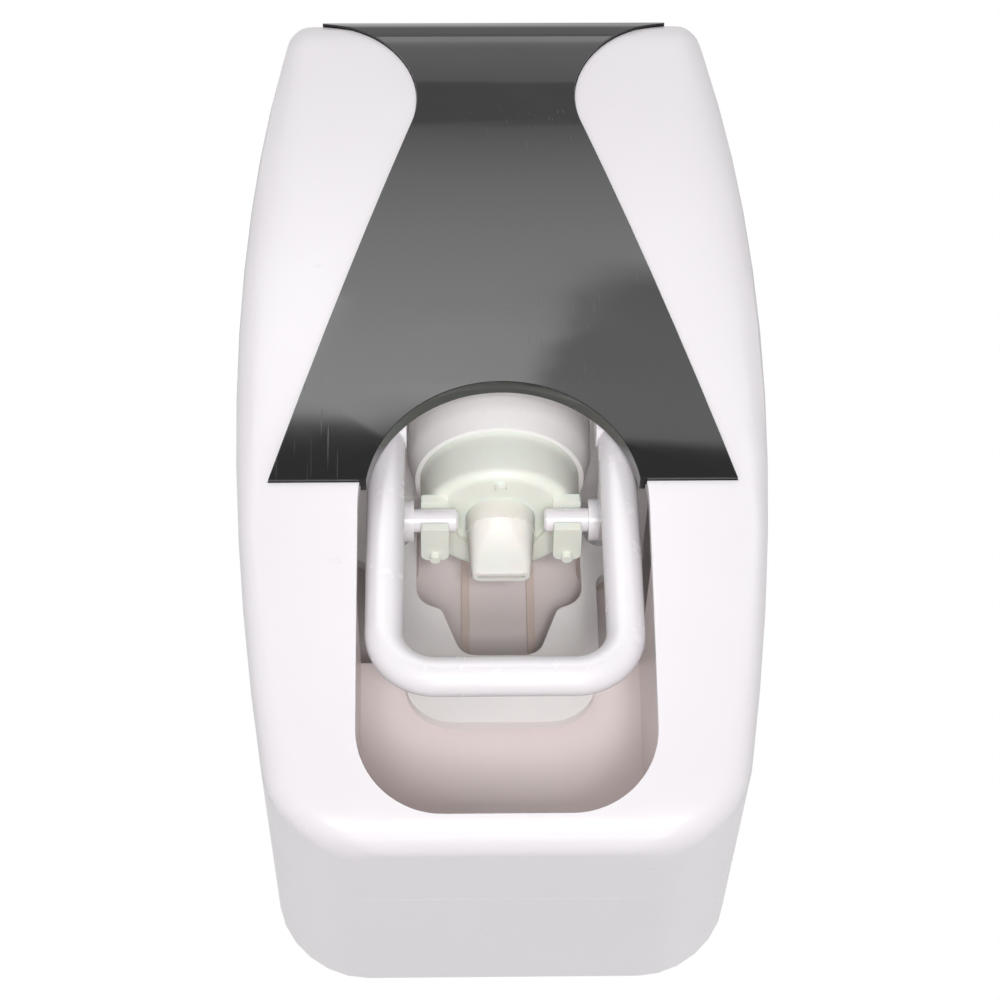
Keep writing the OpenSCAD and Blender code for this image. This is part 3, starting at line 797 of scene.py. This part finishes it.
@dataclass(frozen=True)
class Snoot:
    """Narrow lamp that looks into the brush opening, placed in metres."""

    place: Point = (0.03, -0.58, -0.30)
    aim: Point = (0.001, -0.040, -0.024)
    watts: float = 2.6
    spread_deg: float = 5.6
    fade: float = 0.6
    radius: float = 0.02

    def build(self) -> None:
        """Adds the lamp."""
        data = bpy.data.lights.new("snoot", "SPOT")
        data.energy = self.watts
        data.spot_size = math.radians(self.spread_deg)
        data.spot_blend = self.fade
        data.shadow_soft_size = self.radius
        made = placed("snoot", data)
        made.location = self.place
        behind = Vector(self.place) - Vector(self.aim)
        made.rotation_euler = behind.to_track_quat("Z", "Y").to_euler()


@dataclass(frozen=True)
class Reflector:
    """Large upright card with uneven light that only glossy surfaces mirror.

    The spans are in metres: shadow_edge across the card, and all others of height. Between a span's
    two ends a share of the light comes or goes. The shadow is a darker patch low on one side, whose
    edge leans.
    """

    half: float = 1.4
    at: Point = (0.0, -1.0, 1.65)
    base: float = 0.4
    full: float = 5.0
    edge: Span = (0.628, 0.650)
    edge_slope: float = 0.3
    first_fall: float = 1.4
    first_span: Span = (0.66, 0.95)
    second_fall: float = 3.2
    second_span: Span = (0.95, 1.9)
    top_rise: float = 2.5
    top_span: Span = (2.2, 2.9)
    cloud_scale: float = 9.0
    cloud_depth: float = 0.09
    shadow_from: float = 0.78
    shadow_lean: float = 0.115
    shadow_edge: Span = (0.045, 0.062)
    shadow_end: Span = (0.98, 1.08)
    shadow_depth: float = 0.6

    def level(self, bench: Bench) -> Wire:
        """Strength of the card's light over its surface."""
        across, _, height = bench.axes()
        cloud = (bench.noise(self.cloud_scale, 3.0) - 0.5) * self.cloud_depth
        rise = (height + cloud * self.edge_slope + across * self.edge_slope).ramp(*self.edge)
        level = self.full - (height + cloud).ramp(*self.first_span) * self.first_fall
        level = level - height.ramp(*self.second_span) * self.second_fall
        level = level + height.ramp(*self.top_span) * self.top_rise
        lean = (height - self.shadow_from) * self.shadow_lean
        shadow = (across + cloud - lean).ramp(*self.shadow_edge)
        patch = shadow * (1.0 - height.ramp(*self.shadow_end)) * self.shadow_depth
        return rise * level * (1.0 - patch) + self.base

    def build(self) -> None:
        """Adds the card."""
        upright = Matrix.Rotation(math.pi / 2, 4, "X")
        card = flat_square("reflector", self.half, upright, self.at, 1)
        bench = Bench.named("card_light")
        light = bench.node("ShaderNodeEmission", None, {"Strength": self.level(bench)})
        bench.node("ShaderNodeOutputMaterial", None, {"Surface": light.outputs[0]})
        card.data.materials.append(bench.holder)
        card.visible_camera = card.visible_diffuse = card.visible_shadow = False
        card.visible_transmission = card.visible_volume_scatter = False


@dataclass
class Studio:
    """Camera, lamps, floor and surroundings.

    The camera's numbers come from a fit to the photograph's outline of the object.
    """

    eye_mm: Point = (-7.8, -403.3, -215.3)
    sight: Point = (0.0182, 0.8666, 0.4986)
    roll_deg: float = 0.9
    focal_px: float = 2904.0
    centre_px: Span = (499.2, 445.5)
    picture_px: float = 1000.0
    sensor_mm: float = 36.0
    reach: Span = (0.02, 20.0)
    floor_at: Point = (0.0, 0.0, -1.4)
    floor_half: float = 4.0
    floor_tone: Colour = (0.80, 0.80, 0.80)
    floor_pale: Colour = (0.83, 0.83, 0.83)
    room_level: float = 0.41
    lamps: tuple[SoftLamp, ...] = (
        SoftLamp("front", (0.0, -1.68, -1.02), 0.4, 17.8),
        SoftLamp("key", (-0.45, -0.9, 0.55), 0.7, 1.6),
        SoftLamp("under", (0.1, -0.6, -1.15), 0.5, 2.0),
    )

    def camera(self) -> None:
        """Places the camera at the photograph's viewing angle."""
        data = bpy.data.cameras.new("camera")
        data.sensor_width = self.sensor_mm
        data.lens = self.focal_px / self.picture_px * self.sensor_mm
        middle = self.picture_px / 2
        data.shift_x = (middle - self.centre_px[0]) / self.picture_px
        data.shift_y = (self.centre_px[1] - middle) / self.picture_px
        data.clip_start, data.clip_end = self.reach
        made = placed("camera", data)
        ahead = Vector(self.sight).normalized()
        right = ahead.cross(Vector((0, 0, 1))).normalized()
        up = right.cross(ahead)
        basis = Matrix((right, up, -ahead)).transposed()
        turn = Matrix.Rotation(math.radians(-self.roll_deg), 3, "Z")
        made.matrix_world = Matrix.Translation(Vector(self.eye_mm) * MM) @ (basis @ turn).to_4x4()
        bpy.context.scene.camera = made

    def floor(self) -> None:
        """Pale paper floor."""
        made = flat_square("floor", self.floor_half, Matrix.Identity(4), self.floor_at, 2)
        bench = Bench.named("floor_paper")
        tone = bench.blend(bench.noise(3.0), self.floor_tone, self.floor_pale)
        made.data.materials.append(bench.surface({"Base Color": tone, "Roughness": 0.9}))

    def room(self) -> None:
        """World that looks white, also in metal and glass, and lights the object softly."""
        world = bpy.data.worlds.new("room")
        bpy.context.scene.world = world
        bench = Bench(world)
        path = bench.node("ShaderNodeLightPath").outputs
        seen = Wire(bench, path["Is Camera Ray"])
        for kind in ("Is Glossy Ray", "Is Transmission Ray"):
            seen = seen.most(Wire(bench, path[kind]))
        levels = {"Value": seen, "To Min": self.room_level, "To Max": 1.0}
        strength = bench.node("ShaderNodeMapRange", None, levels).outputs["Result"]
        white = {"Color": (1.0, 1.0, 1.0, 1.0), "Strength": strength}
        light = bench.node("ShaderNodeBackground", None, white)
        bench.node("ShaderNodeOutputWorld", None, {"Surface": light.outputs[0]})

    def build(self) -> None:
        """Builds the studio."""
        bpy.context.scene.view_settings.view_transform = "Standard"
        self.camera()
        self.floor()
        self.room()
        Reflector().build()
        for lamp in self.lamps:
            lamp.build()
        Snoot().build()


def main() -> None:
    """Builds the studio and every sub-assembly."""
    logging.basicConfig(level=logging.INFO, format="%(name)s: %(message)s")
    Studio().build()
    shop = Workshop(Paint())
    for assembly in (Casing(shop), Pump(shop), Cup(shop), Lever(shop)):
        assembly.build()
        LOG.info("%s done", type(assembly).__name__)


if __name__ == "__main__":
    main()
